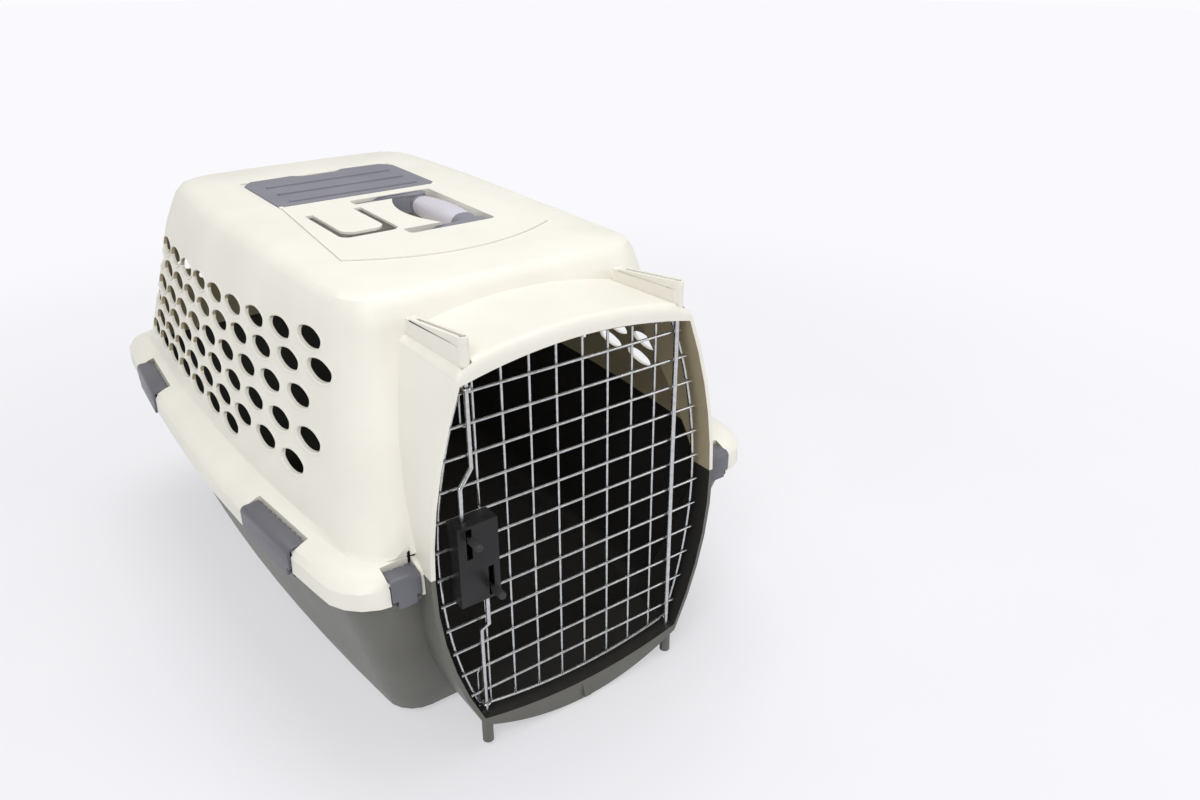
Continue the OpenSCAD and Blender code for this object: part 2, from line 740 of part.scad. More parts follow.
// Bail of the handle: two tapered arms and the bar that the grip sleeves
grip_bore_d = 13;
module handle_frame() {
    arm_end_r = 9;
    gusset_h = 15;
    color(slate)
    placed()
    difference() {
        union() {
            for (s = [-1, 1])
                translate([0, handle_mid_y + s * handle_span / 2 + arm_t / 2, 0])
                    rotate([90, 0, 0])
                        linear_extrude(arm_t) {
                            translate([pivot_x, pivot_z])
                                circle(d = eye_d);
                            translate([grip_x, pivot_z])
                                circle(arm_end_r);
                            polygon([[pivot_x, pivot_z - eye_d / 2], [grip_x, pivot_z - arm_end_r],
                                [grip_x, pivot_z + arm_end_r], [pivot_x, pivot_z + eye_d / 2]]);
                        }
            for (s = [0, 1])
                translate([0, handle_mid_y, pivot_z - gusset_h / 2])
                    mirror([0, s, 0])
                        linear_extrude(gusset_h)
                            polygon([[grip_x - 30, handle_span / 2], [grip_x - 30, handle_span / 2 - arm_t / 2],
                                [grip_x - 6, grip_len / 2 + 1], [grip_x, grip_len / 2 + 1], [grip_x, handle_span / 2]]);
            translate([grip_x, handle_mid_y, pivot_z])
                rotate([90, 0, 0])
                    cylinder(d = grip_bore_d, h = handle_span, center = true);
            for (s = [-1, 1])
                translate([grip_x, handle_mid_y + s * (grip_len / 2 + 0.2), pivot_z])
                    rotate([-90 * s, 0, 0])
                        cylinder(r1 = arm_end_r + 1, r2 = arm_end_r, h = (handle_span - grip_len) / 2 - 0.2);
        }
        for (s = [-1, 1])
            translate([pivot_x, handle_mid_y + s * handle_span / 2, pivot_z])
                rotate([90, 0, 0])
                    cylinder(d = pin_d + 2 * fit, h = arm_t + 2, center = true);
    }
}

module handle_grip() {
    r_end = grip_d / 2 - 3;
    steps = 12;
    color(lilac)
    placed()
    translate([grip_x, handle_mid_y, pivot_z])
        rotate([90, 0, 0])
            rotate_extrude($fn = 40)
                polygon(concat(
                    [[grip_bore_d / 2 + 0.05, -grip_len / 2], [r_end - 1.5, -grip_len / 2]],
                    [for (i = [0:steps]) let (u = 2 * i / steps - 1)
                        [grip_d / 2 - 3 * u * u, u * (grip_len / 2 - 1.5)]],
                    [[r_end - 1.5, grip_len / 2], [grip_bore_d / 2 + 0.05, grip_len / 2]]));
}

module storage_lid() {
    rib_r = 3;
    rib_half = 70;
    color(slate)
    placed()
    difference() {
        union() {
            translate([0, 0, panel_top_z - lid_t])
                linear_extrude(lid_t)
                    lid_shape(0);
            translate([0, lid_hinge_y, lid_hinge_z])
                rotate([0, 90, 0])
                    cylinder(d = lid_bar_d, h = 2 * lid_bar_x, center = true);
            for (y = [411, 445, 480])
                translate([0, y, panel_top_z]) {
                    translate([-rib_half, -rib_r, -0.5])
                        cube([2 * rib_half, 2 * rib_r, 2]);
                    for (s = [-1, 1])
                        translate([s * rib_half, 0, -0.5])
                            cylinder(r = rib_r, h = 2);
                }
        }
        for (s = [-1, 1])
            translate([s * (lid_bar_x + 5) - 5 + s * 0.2, lid_front_y - 1, lid_hinge_z - 6])
                cube([10, lid_bar_d / 2 + 4.2, 20]);
        translate([0, lid_hinge_y, lid_hinge_z])
            rotate([0, 90, 0])
                cylinder(d = lid_pin_d + 2 * fit, h = 2 * lid_x, center = true);
    }
}

// Height where a bow of radius r, whose middle is at the given height, meets the side bow
function side_bow_x(z) = door_half_w - door_side_r + sqrt(pow(door_side_r, 2) - pow(z - door_mid_z, 2));
door_top_corner = [103.5, door_top_z - (door_top_r - sqrt(pow(door_top_r, 2) - pow(103.5, 2)))];
door_bottom_corner = [105.6, door_bottom_z + (door_bottom_r - sqrt(pow(door_bottom_r, 2) - pow(105.6, 2)))];

// A wire bent to an arc in the X-Z plane, from angle a0 to a1 about a centre
module wire_arc(cx, cz, r, a0, a1, d) {
    translate([cx, 0, cz])
        rotate([90, 0, 0])
            rotate([0, 0, a0])
                rotate_extrude(angle = a1 - a0, $fn = 180)
                    translate([r, 0])
                        circle(d = d, $fn = 20);
}

module door_frame_wire() {
    up = asin((door_top_corner[1] - door_mid_z) / door_side_r);
    down = asin((door_mid_z - door_bottom_corner[1]) / door_side_r);
    over = asin(door_top_corner[0] / door_top_r);
    under = asin(door_bottom_corner[0] / door_bottom_r);
    color(steel)
    placed()
    translate([0, frame_y, 0]) {
        for (s = [0, 1])
            mirror([s, 0, 0]) {
                wire_arc(door_half_w - door_side_r, door_mid_z, door_side_r, -down, up, frame_wire_d);
                translate([door_top_corner[0], 0, door_top_corner[1]])
                    sphere(d = frame_wire_d + 0.3, $fn = 24);
                translate([door_bottom_corner[0], 0, door_bottom_corner[1]])
                    sphere(d = frame_wire_d + 0.3, $fn = 24);
            }
        wire_arc(0, door_top_z - door_top_r, door_top_r, 90 - over, 90 + over, frame_wire_d);
        wire_arc(0, door_bottom_z + door_bottom_r, door_bottom_r, 270 - under, 270 + under, frame_wire_d);
    }
}

function top_bow_z(x) = door_top_z - door_top_r + sqrt(pow(door_top_r, 2) - x * x);
function bottom_bow_z(x) = door_bottom_z + door_bottom_r - sqrt(pow(door_bottom_r, 2) - x * x);

module door_upright_wires() {
    first_x = -upright_pitch * (upright_count - 1) / 2 - 5;
    reach = frame_wire_d / 2 + 0.15;
    color(steel)
    placed() {
        for (i = [0:upright_count - 1]) {
            x = first_x + i * upright_pitch;
            translate([x, upright_y, bottom_bow_z(x) + reach])
                cylinder(d = grid_wire_d, h = top_bow_z(x) - bottom_bow_z(x) - 2 * reach, $fn = 16);
        }
    }
}

module door_cross_wires() {
    color(steel)
    placed()
    for (i = [0:cross_count - 1]) {
        z = first_cross_z - i * cross_pitch;
        x = side_bow_x(z) + frame_wire_d / 2 + door_tip;
        translate([-x, cross_y, z])
            rotate([0, 90, 0])
                cylinder(d = grid_wire_d, h = 2 * x, $fn = 16);
    }
}

module door_hinge_rod() {
    color(steel)
    placed()
    translate([rod_x, rod_y, 20])
        cylinder(d = hinge_rod_d, h = socket_front_z - 22);
}

// Wire loops that the latch rods slide through, on stems to the frame wire
guide_r = latch_rod_d / 2 + 1.5;
guide_d = 2;
upper_guide_z = door_top_corner[1] - 3.6;
lower_guide_z = door_bottom_corner[1] + 6;
module latch_rod_guides() {
    color(steel)
    placed()
    for (z = [upper_guide_z, lower_guide_z])
        translate([-rod_x, rod_y, z]) {
            rotate_extrude($fn = 40)
                translate([guide_r, 0])
                    circle(d = guide_d, $fn = 20);
            rod_between([-guide_r, 0, 0],
                [rod_x - side_bow_x(z), frame_y - frame_wire_d / 2 - rod_y - 0.12, 0], guide_d);
        }
}

module latch_case() {
    color(black)
    placed()
    difference() {
        translate([case_x0, case_front_y, case_z0])
            cube([case_w, case_back_y - case_front_y, case_h]);
        difference() {
            translate([case_x0 + case_t, case_front_y + case_t, case_z0 + case_t])
                cube([case_w - 2 * case_t, case_back_y - case_front_y, case_h - 2 * case_t]);
            translate([case_mid_x - 0.7, case_front_y, case_z0])
                cube([1.4, case_back_y - case_front_y - 0.1, case_h]);
            translate([case_x0, case_front_y, upper_shelf_z - shelf_t])
                cube([case_mid_x - case_x0, case_back_y - case_front_y - 1.5, shelf_t]);
            translate([case_mid_x, case_front_y, lower_shelf_z])
                cube([case_x0 + case_w - case_mid_x, case_back_y - case_front_y - 1.5, shelf_t]);
        }
        translate([upper_rod_x, latch_y, case_z1 - 5])
            cylinder(d = latch_rod_d + 0.8, h = 10);
        translate([lower_rod_x, latch_y, case_z0 - 5])
            cylinder(d = latch_rod_d + 0.8, h = 10);
        translate([upper_rod_x - slot_w / 2, case_front_y - 1, upper_thumb_z - 20])
            cube([slot_w, case_t + 2, 20 + latch_stroke + latch_rod_d / 2 + 0.8]);
        translate([lower_rod_x - slot_w / 2, case_front_y - 1, lower_thumb_z - latch_stroke - latch_rod_d / 2 - 0.8])
            cube([slot_w, case_t + 2, 20 + latch_stroke + latch_rod_d / 2 + 0.8]);
    }
}

module latch_back_plate() {
    color(black)
    placed()
    translate([case_x0 + 0.5, case_back_y + 0.05, case_z0 + 0.5])
        cube([case_w - 1, back_plate_t, case_h - 1]);
}

// A round wire coil along Z, swept as one tube with six sides
spring_r = 3.1;
spring_wire_d = 0.9;
spring_turns = 11;
function coil_ring(r, d, a, z) =
    [for (k = [0:5]) [(r + d / 2 * cos(60 * k)) * cos(a), (r + d / 2 * cos(60 * k)) * sin(a), z + d / 2 * sin(60 * k)]];
module coil(r, d, turns, h) {
    n = turns * 8;
    rise = h - d;
    points = [for (i = [0:n]) each coil_ring(r, d, 45 * i, d / 2 + rise * i / n)];
    faces = concat(
        [[5, 4, 3, 2, 1, 0]],
        [for (i = [0:n - 1]) for (k = [0:5]) let (m = (k + 1) % 6) [i * 6 + k, (i + 1) * 6 + m, (i + 1) * 6 + k]],
        [for (i = [0:n - 1]) for (k = [0:5]) let (m = (k + 1) % 6) [i * 6 + k, i * 6 + m, (i + 1) * 6 + m]],
        [[for (k = [0:5]) n * 6 + k]]);
    polyhedron(points, faces);
}
upper_spring_len = upper_thumb_z - latch_rod_d / 2 - upper_shelf_z - 0.6;
lower_spring_len = lower_shelf_z - lower_thumb_z - latch_rod_d / 2 - 0.6;
echo("least gap between spring turns", (upper_spring_len - spring_wire_d) / spring_turns - spring_wire_d);

module upper_spring() {
    color(steel)
    placed()
    translate([upper_rod_x, latch_y, upper_shelf_z + 0.3])
        coil(spring_r, spring_wire_d, spring_turns, upper_spring_len);
}
module lower_spring() {
    color(steel)
    placed()
    translate([lower_rod_x, latch_y, lower_shelf_z - 0.3 - lower_spring_len])
        coil(spring_r, spring_wire_d, spring_turns, lower_spring_len);
}

jog_top_z = case_z1 + 40;
jog_low_z = case_z0 - 42;
module upper_latch_rod() {
    color(steel)
    placed()
    bent_wire([[-rod_x, rod_y, arch_under_z - 2], [-rod_x, rod_y, jog_top_z],
        [upper_rod_x, latch_y, jog_top_z - 11], [upper_rod_x, latch_y, upper_thumb_z],
        [upper_rod_x, wire_end_y, upper_thumb_z]], latch_rod_d);
}
module lower_latch_rod() {
    color(steel)
    placed()
    bent_wire([[-rod_x, rod_y, sill_rod_z + 2.4], [-rod_x, rod_y, jog_low_z],
        [lower_rod_x, latch_y, jog_low_z + 9], [lower_rod_x, latch_y, lower_thumb_z],
        [lower_rod_x, wire_end_y, lower_thumb_z]], latch_rod_d);
}

// Rubber sleeve with a rounded end
module thumb_cap() {
    r = cap_d / 2;
    bore_r = latch_rod_d / 2 + 0.05;
    rotate([90, 0, 0])
        rotate_extrude($fn = 32)
            polygon(concat(
                [[bore_r, 0], [r - 0.4, 0], [r, 0.8], [r, cap_len - r]],
                [for (a = [15:15:90]) [r * cos(a), cap_len - r + r * sin(a)]],
                [[0, cap_len - 2.4], [bore_r, cap_len - 2.4]]));
}
module upper_thumb_cap() {
    color(black)
    placed()
    translate([upper_rod_x, cap_start_y, upper_thumb_z])
        thumb_cap();
}
module lower_thumb_cap() {
    color(black)
    placed()
    translate([lower_rod_x, cap_start_y, lower_thumb_z])
        thumb_cap();
}

module front_clip_right() placed() at_seat(front_seat) clip(front_clip_w);
module front_clip_left() placed() mirror([1, 0, 0]) at_seat(front_seat) clip(front_clip_w);
module side_clip_right() placed() at_seat(side_seat) clip(side_clip_w);
module side_clip_left() placed() mirror([1, 0, 0]) at_seat(side_seat) clip(side_clip_w);
module rear_clip_right() placed() at_seat(rear_seat) clip(side_clip_w);
module rear_clip_left() placed() mirror([1, 0, 0]) at_seat(rear_seat) clip(side_clip_w);

lower_shell();
upper_shell();
top_panel();
lid_hinge_pin();
handle_pins();
door_frame_wire();
door_upright_wires();
door_cross_wires();
door_hinge_rod();
latch_rod_guides();
latch_case();
latch_back_plate();
upper_spring();
lower_spring();
upper_latch_rod();
lower_latch_rod();
upper_thumb_cap();
lower_thumb_cap();
handle_frame();
handle_grip();
storage_lid();
front_clip_left();
front_clip_right();
side_clip_left();
side_clip_right();
rear_clip_left();
rear_clip_right();
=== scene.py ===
import math

import bmesh
import bpy
from mathutils import Euler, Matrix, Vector
from mathutils.bvhtree import BVHTree


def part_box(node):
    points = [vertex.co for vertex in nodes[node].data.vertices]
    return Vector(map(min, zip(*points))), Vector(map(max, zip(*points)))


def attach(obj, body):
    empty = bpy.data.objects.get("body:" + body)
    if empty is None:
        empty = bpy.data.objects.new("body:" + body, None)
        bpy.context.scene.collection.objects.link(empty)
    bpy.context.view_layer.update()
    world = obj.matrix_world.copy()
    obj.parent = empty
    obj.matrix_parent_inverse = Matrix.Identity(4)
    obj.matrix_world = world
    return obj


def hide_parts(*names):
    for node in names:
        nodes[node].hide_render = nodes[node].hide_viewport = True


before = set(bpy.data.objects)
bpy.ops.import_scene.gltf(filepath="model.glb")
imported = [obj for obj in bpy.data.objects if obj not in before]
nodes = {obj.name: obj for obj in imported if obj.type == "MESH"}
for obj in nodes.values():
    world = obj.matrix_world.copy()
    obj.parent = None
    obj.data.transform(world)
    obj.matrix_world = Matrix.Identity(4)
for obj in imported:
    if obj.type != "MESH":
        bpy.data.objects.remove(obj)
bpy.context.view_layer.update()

mm = 0.001
midY = 308.39   # depths below are in millimetres behind the door's plane; the frame's middle lies here
print("frame loaded:", len(nodes), "nodes")

# the photograph's camera: a 1200 x 800 picture, focal length as on a 36 mm sensor
photoCamera = {
    "at": (-0.4102, -0.8968, 0.663), "heading": -36.43, "down": 26.21, "roll": -0.08, "lens": 29.44,
    "sensor": 36, "near": 0.01, "far": 50,
}


def makeCamera(c):
    data = bpy.data.cameras.new("photoCamera")
    data.lens = c["lens"]
    data.sensor_width = c["sensor"]
    data.clip_start = c["near"]
    data.clip_end = c["far"]
    camera = bpy.data.objects.new("photoCamera", data)
    camera.location = c["at"]
    turns = (90 - c["down"], c["roll"], c["heading"])
    camera.rotation_euler = Euler([math.radians(turn) for turn in turns])
    bpy.context.scene.collection.objects.link(camera)
    bpy.context.scene.camera = camera


makeCamera(photoCamera)
print("camera ready")


def link(tree, fromNode, output, toNode, socket):
    tree.links.new(fromNode.outputs[output], toNode.inputs[socket])


def newMaterial(name):
    material = bpy.data.materials.new(name)
    material.use_nodes = True
    tree = material.node_tree
    return material, tree, tree.nodes["Principled BSDF"]


def noise(tree, scale, detail=3, stretch=None):
    coords = tree.nodes.new("ShaderNodeTexCoord")
    texture = tree.nodes.new("ShaderNodeTexNoise")
    texture.inputs["Scale"].default_value = scale
    texture.inputs["Detail"].default_value = detail
    if stretch:
        mapping = tree.nodes.new("ShaderNodeMapping")
        mapping.inputs["Scale"].default_value = stretch
        link(tree, coords, "Object", mapping, "Vector")
        link(tree, mapping, "Vector", texture, "Vector")
    else:
        link(tree, coords, "Object", texture, "Vector")
    return texture


def ramp(tree, source, low, high, fromLow=0.35, fromHigh=0.65):
    ranger = tree.nodes.new("ShaderNodeMapRange")
    ranger.inputs["From Min"].default_value = fromLow
    ranger.inputs["From Max"].default_value = fromHigh
    ranger.inputs["To Min"].default_value = low
    ranger.inputs["To Max"].default_value = high
    link(tree, source, "Fac", ranger, "Value")
    return ranger


def tintBetween(tree, source, first, second, fromLow=0.35, fromHigh=0.65):
    colours = tree.nodes.new("ShaderNodeValToRGB")
    colours.color_ramp.elements[0].position = fromLow
    colours.color_ramp.elements[0].color = (*first, 1)
    colours.color_ramp.elements[1].position = fromHigh
    colours.color_ramp.elements[1].color = (*second, 1)
    link(tree, source, "Fac", colours, "Fac")
    return colours


def addBump(tree, shader, source, strength, depth, previous=None):
    bump = tree.nodes.new("ShaderNodeBump")
    bump.inputs["Strength"].default_value = strength
    bump.inputs["Distance"].default_value = depth
    link(tree, source, "Fac", bump, "Height")
    if previous:
        link(tree, previous, "Normal", bump, "Normal")
    link(tree, bump, "Normal", shader, "Normal")
    return bump


# moulded plastic: a fine spark-eroded grain over a slow, faint mottle and a barely wavy surface
moulding = {"mottleSize": 14, "waveSize": 22, "waveStrength": 0.12, "waveDepth": 0.0015, "grainDepth": 0.0002}


def mouldedPlastic(name, light, dark, rough, grain=0.35, grainSize=1500, specular=0.5):
    material, tree, shader = newMaterial(name)
    mottle = noise(tree, moulding["mottleSize"], 4)
    tint = tintBetween(tree, mottle, dark, light)
    link(tree, tint, "Color", shader, "Base Color")
    grainTexture = noise(tree, grainSize, 2)
    sheen = ramp(tree, grainTexture, rough[0], rough[1])
    link(tree, sheen, "Result", shader, "Roughness")
    waves = noise(tree, moulding["waveSize"], 2)
    soft = addBump(tree, shader, waves, moulding["waveStrength"], moulding["waveDepth"])
    addBump(tree, shader, grainTexture, grain, moulding["grainDepth"], soft)
    shader.inputs["Specular IOR Level"].default_value = specular
    return material


# painted shade: the insides of the shells are darkened to stand in for the shade that falls in them:
# a face below the roof that looks towards the middle of the cabin takes the inner shade tint
insideShade = {"middle": (0, 0.03, 0.12), "below": 0.368}


def lessThan(tree, source, output, limit):
    test = tree.nodes.new("ShaderNodeMath")
    test.operation = "LESS_THAN"
    test.inputs[1].default_value = limit
    link(tree, source, output, test, 0)
    return test


# paints shade into the base colour: inward faces below the roof take the dark shade tint
def paintInsideShade(material, innerShadeTint):
    tree = material.node_tree
    shader = tree.nodes["Principled BSDF"]
    outsideTint = shader.inputs["Base Color"].links[0].from_socket
    place = tree.nodes.new("ShaderNodeNewGeometry")
    away = tree.nodes.new("ShaderNodeVectorMath")
    away.operation = "SUBTRACT"
    away.inputs[1].default_value = insideShade["middle"]
    link(tree, place, "Position", away, 0)
    facing = tree.nodes.new("ShaderNodeVectorMath")
    facing.operation = "DOT_PRODUCT"
    link(tree, place, "True Normal", facing, 0)
    link(tree, away, "Vector", facing, 1)
    inner = lessThan(tree, facing, "Value", 0)
    height = tree.nodes.new("ShaderNodeSeparateXYZ")
    link(tree, place, "Position", height, "Vector")
    below = lessThan(tree, height, "Z", insideShade["below"])
    shadeMask = tree.nodes.new("ShaderNodeMath")
    shadeMask.operation = "MULTIPLY"
    link(tree, inner, "Value", shadeMask, 0)
    link(tree, below, "Value", shadeMask, 1)
    mix = tree.nodes.new("ShaderNodeMixRGB")
    mix.inputs["Color2"].default_value = (*innerShadeTint, 1)
    link(tree, shadeMask, "Value", mix, "Fac")
    tree.links.new(outsideTint, mix.inputs["Color1"])
    link(tree, mix, "Color", shader, "Base Color")


# zinc-plated wire: bright, with a cloudy bloom and faint drawing lines
plating = {
    "bloomSize": 240, "lineSize": 900, "lineStretch": (1, 1, 0.12), "lineStrength": 0.2, "lineDepth": 0.0001,
}


def platedWire(name, light, dark, rough):
    material, tree, shader = newMaterial(name)
    bloom = noise(tree, plating["bloomSize"], 4)
    tint = tintBetween(tree, bloom, dark, light)
    link(tree, tint, "Color", shader, "Base Color")
    sheen = ramp(tree, bloom, rough[0], rough[1])
    link(tree, sheen, "Result", shader, "Roughness")
    lines = noise(tree, plating["lineSize"], 2, plating["lineStretch"])
    addBump(tree, shader, lines, plating["lineStrength"], plating["lineDepth"])
    shader.inputs["Metallic"].default_value = 1
    return material


creamShell = mouldedPlastic("creamShell", (0.82, 0.795, 0.72), (0.78, 0.755, 0.68), (0.38, 0.52))
creamPanel = mouldedPlastic("creamPanel", (0.83, 0.805, 0.73), (0.795, 0.77, 0.695), (0.36, 0.48))
# painted shade: the cream shell's inner faces take a tan shade tint
paintInsideShade(creamShell, (0.40, 0.345, 0.225))
taupeTub = mouldedPlastic("taupeTub", (0.135, 0.134, 0.116), (0.112, 0.111, 0.096), (0.36, 0.5), specular=0.4)
# painted shade: the tub's inner faces take a near-black shade tint
paintInsideShade(taupeTub, (0.022, 0.021, 0.018))
slatePlastic = mouldedPlastic("slatePlastic", (0.13, 0.13, 0.152), (0.112, 0.112, 0.132), (0.34, 0.46))
slateTop = mouldedPlastic("slateTop", (0.215, 0.215, 0.255), (0.185, 0.185, 0.222), (0.34, 0.46))
blackPlastic = mouldedPlastic("blackPlastic", (0.012, 0.012, 0.013), (0.008, 0.008, 0.009), (0.3, 0.4),
                              grain=0.2, specular=0.3)
softRubber = mouldedPlastic("softRubber", (0.025, 0.025, 0.026), (0.016, 0.016, 0.017), (0.55, 0.7), 0.5, 900)
gripPlastic = mouldedPlastic("gripPlastic", (0.60, 0.575, 0.635), (0.55, 0.528, 0.585), (0.32, 0.44), 0.2)
doorWire = platedWire("doorWire", (0.64, 0.645, 0.65), (0.5, 0.505, 0.51), (0.18, 0.3))
springWire = platedWire("springWire", (0.72, 0.72, 0.72), (0.55, 0.55, 0.56), (0.25, 0.38))
pinSteel = platedWire("pinSteel", (0.62, 0.62, 0.63), (0.5, 0.5, 0.51), (0.3, 0.42))
print("materials made")

finishes = {
    "lower_shell": taupeTub, "upper_shell": creamShell, "top_panel": creamPanel,
    "lid_hinge_pin": pinSteel, "handle_pins": pinSteel,
    "door_frame_wire": doorWire, "door_upright_wires": doorWire, "door_cross_wires": doorWire,
    "door_hinge_rod": doorWire, "latch_rod_guides": doorWire,
    "latch_case": blackPlastic, "latch_back_plate": blackPlastic,
    "upper_spring": springWire, "lower_spring": springWire,
    "upper_latch_rod": doorWire, "lower_latch_rod": doorWire,
    "upper_thumb_cap": softRubber, "lower_thumb_cap": softRubber,
    "handle_frame": slateTop, "handle_grip": gripPlastic, "storage_lid": slateTop,
}
# moulded edges that get a small radius in the render, in millimetres
edgeRadius = {"latch_case": 1.6, "storage_lid": 0.7, "handle_frame": 1.6}
clipRadius = 0.6


def roundEdges(piece, radius, degrees):
    bevel = piece.modifiers.new("edgeRadius", "BEVEL")
    bevel.width = radius * mm
    bevel.segments = 2
    bevel.limit_method = "ANGLE"
    bevel.angle_limit = math.radians(degrees)


def sharpen(piece, degrees=35):
    split = piece.modifiers.new("sharpEdges", "EDGE_SPLIT")
    split.split_angle = math.radians(degrees)


# even shading on a CAD node: its split corners are welded and sharp edges kept
def smoothNode(node, name):
    mesh = node.data
    if "custom_normal" in mesh.attributes:
        mesh.attributes.remove(mesh.attributes["custom_normal"])
    mesh.shade_smooth()
    weld = node.modifiers.new("weld", "WELD")
    weld.merge_threshold = 0.01 * mm
    radius = edgeRadius.get(name, clipRadius if "clip" in name else 0)
    if radius:
        roundEdges(node, radius, 40)
    sharpen(node, 32)


for name, node in nodes.items():
    finish = finishes.get(name, slatePlastic)
    node.data.materials.clear()
    node.data.materials.append(finish)
    smoothNode(node, name)
print("CAD nodes finished")


def addPiece(name, mesh, material, body):
    mesh.materials.append(material)
    piece = bpy.data.objects.new(name, mesh)
    bpy.context.scene.collection.objects.link(piece)
    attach(piece, body)
    return piece


# a mesh through rings of points of equal count, where each ring is a closed loop
def skinRings(shape, rings, closeEnds=True):
    made = [[shape.verts.new(p) for p in ring] for ring in rings]
    for low, high in zip(made, made[1:]):
        for i in range(len(low)):
            j = (i + 1) % len(low)
            shape.faces.new((low[i], low[j], high[j], high[i]))
    if closeEnds:
        shape.faces.new(made[0][::-1])
        shape.faces.new(made[-1])


def finishMesh(shape, name, smooth=True):
    bmesh.ops.recalc_face_normals(shape, faces=shape.faces)
    mesh = bpy.data.meshes.new(name)
    shape.to_mesh(mesh)
    shape.free()
    if smooth:
        mesh.shade_smooth()
    return mesh


def treeOf(name):
    shape = bmesh.new()
    shape.from_mesh(nodes[name].data)
    found = BVHTree.FromBMesh(shape)
    shape.free()
    return found


# raised rims round the vents, laid on the hood's own surface by rays shot at it from outside.
# A row is the steps before its first hole, its number of holes, its height at the back and its
# rise towards the front. The rim's profile is how far out and how high each of its edges lies
vents = {
    "rows": [(0.43, 9, 332, 25), (0, 10, 310.5, 22.4), (0.5, 9, 289, 16.5), (0, 10, 270, 5),
             (0.37, 9, 250.5, -2.8), (2.85, 7, 234, -8)],
    "firstY": 128.9, "pitch": 55.8, "closing": 0.61, "levelY": 430, "riseOver": 300,
    "backCounts": [6, 5, 6, 5], "backPitch": 52, "hole": (42, 17), "endRadius": 4.8, "points": 40,
    "profile": [(0.05, -1), (0.35, 0.55), (2.1, 0.55), (2.6, -0.2)],
    "sideX": 150, "backY": 300, "rayBack": 200, "rayReach": 400,
}


# the hole's outline, made larger by grow: two flat arcs joined by two round ends
def ovalPoints(grow, count):
    width, height = vents["hole"]
    endRadius = vents["endRadius"]
    endX = width / 2 - endRadius
    flatRadius = (endX * endX + height * height / 4 - endRadius * endRadius) / (height - 2 * endRadius)
    reach = math.atan2(endX, flatRadius - height / 2)
    quarter = count // 4
    arc = []
    for i in range(quarter + 1):
        angle = reach * i / quarter
        radius = flatRadius + grow
        arc.append((radius * math.sin(angle), radius * math.cos(angle) + height / 2 - flatRadius))
    for i in range(1, quarter + 1):
        angle = reach + (math.pi / 2 - reach) * i / quarter
        radius = endRadius + grow
        arc.append((endX + radius * math.sin(angle), radius * math.cos(angle)))
    upper = [(-x, z) for x, z in arc[:0:-1]] + arc
    lower = [(x, -z) for x, z in upper[-2:0:-1]]
    return upper + lower


def ventRing(shape, surface, centre, across, outwards):
    rings = []
    for grow, rise in vents["profile"]:
        ring = []
        for a, b in ovalPoints(grow, vents["points"]):
            start = centre + across * (a * mm) + Vector((0, 0, b * mm)) + outwards * (vents["rayBack"] * mm)
            hit, normal, _, _ = surface.ray_cast(start, -outwards, vents["rayReach"] * mm)
            if hit is None:
                return False
            if normal.dot(outwards) < 0:
                normal = -normal
            ring.append(hit + normal * (rise * mm))
        rings.append(ring)
    skinRings(shape, rings, False)
    return True


def makeVentRims():
    surface = treeOf("upper_shell")
    shape = bmesh.new()
    made = 0
    for first, count, z, rise in vents["rows"]:
        for i in range(count):
            u = first + i
            y = vents["firstY"] + vents["pitch"] * u - vents["closing"] * u * u
            height = z + rise * (max(vents["levelY"] - y, 0) / vents["riseOver"]) ** 2
            for side in (-1, 1):
                centre = Vector((side * vents["sideX"], y - midY, height)) * mm
                made += ventRing(shape, surface, centre, Vector((0, side, 0)), Vector((side, 0, 0)))
    for row, count in zip(vents["rows"], vents["backCounts"]):
        for i in range(count):
            x = (i - (count - 1) / 2) * vents["backPitch"]
            centre = Vector((x, vents["backY"], row[2])) * mm
            made += ventRing(shape, surface, centre, Vector((-1, 0, 0)), Vector((0, 1, 0)))
    addPiece("vent_rims", finishMesh(shape, "ventRims"), creamShell, "carrier")
    print("vent rims:", made)


makeVentRims()

# spot welds where the wires cross
welds = {
    "topZ": 346, "downPitch": 26.16, "crossCount": 12, "firstX": -93.9, "pitch": 25.4, "uprightCount": 8,
    "wide": 1.3, "deep": 0.7,
}


def makeWelds():
    w = welds
    shape = bmesh.new()
    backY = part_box("door_cross_wires")[1].y
    for row in range(w["crossCount"]):
        for column in range(w["uprightCount"]):
            x = w["firstX"] + w["pitch"] * column
            z = w["topZ"] - w["downPitch"] * row
            before = len(shape.verts)
            bmesh.ops.create_icosphere(shape, subdivisions=2, radius=1)
            shape.verts.ensure_lookup_table()
            for vert in shape.verts[before:]:
                vert.co.x = (x + vert.co.x * w["wide"]) * mm
                vert.co.y = backY + vert.co.y * w["deep"] * mm
                vert.co.z = (z + vert.co.z * w["wide"]) * mm
    addPiece("wire_welds", finishMesh(shape, "wireWelds"), doorWire, "door")
    print("welds made")


makeWelds()

# the snout's roof is fuller than a plain barrel: a rolled front edge, then a gentle fall to the
# hood. The columns stand clear of the two rod sockets
cowl = {
    "front": -11.95, "back": 93, "roll": 6, "high": 9.5, "low": 5, "middleZ": 375, "cornerX": 113,
    "cornerDrop": 14, "shoulderX": 95, "socket": (97.4, 106.6), "socketFront": -9.5, "sink": 1,
    "rows": [0, 0.2, 0.7, 1.5, 2.7, 4.2, 6, 12, 24, 40, 60, 82, 104.95],
}
# a cell's four neighbours, and the corners of the edge that it shares with each
cellSides = [
    ((0, -1), (0, 0), (1, 0)), ((1, 0), (1, 0), (1, 1)), ((0, 1), (1, 1), (0, 1)), ((-1, 0), (0, 1), (0, 0)),
]


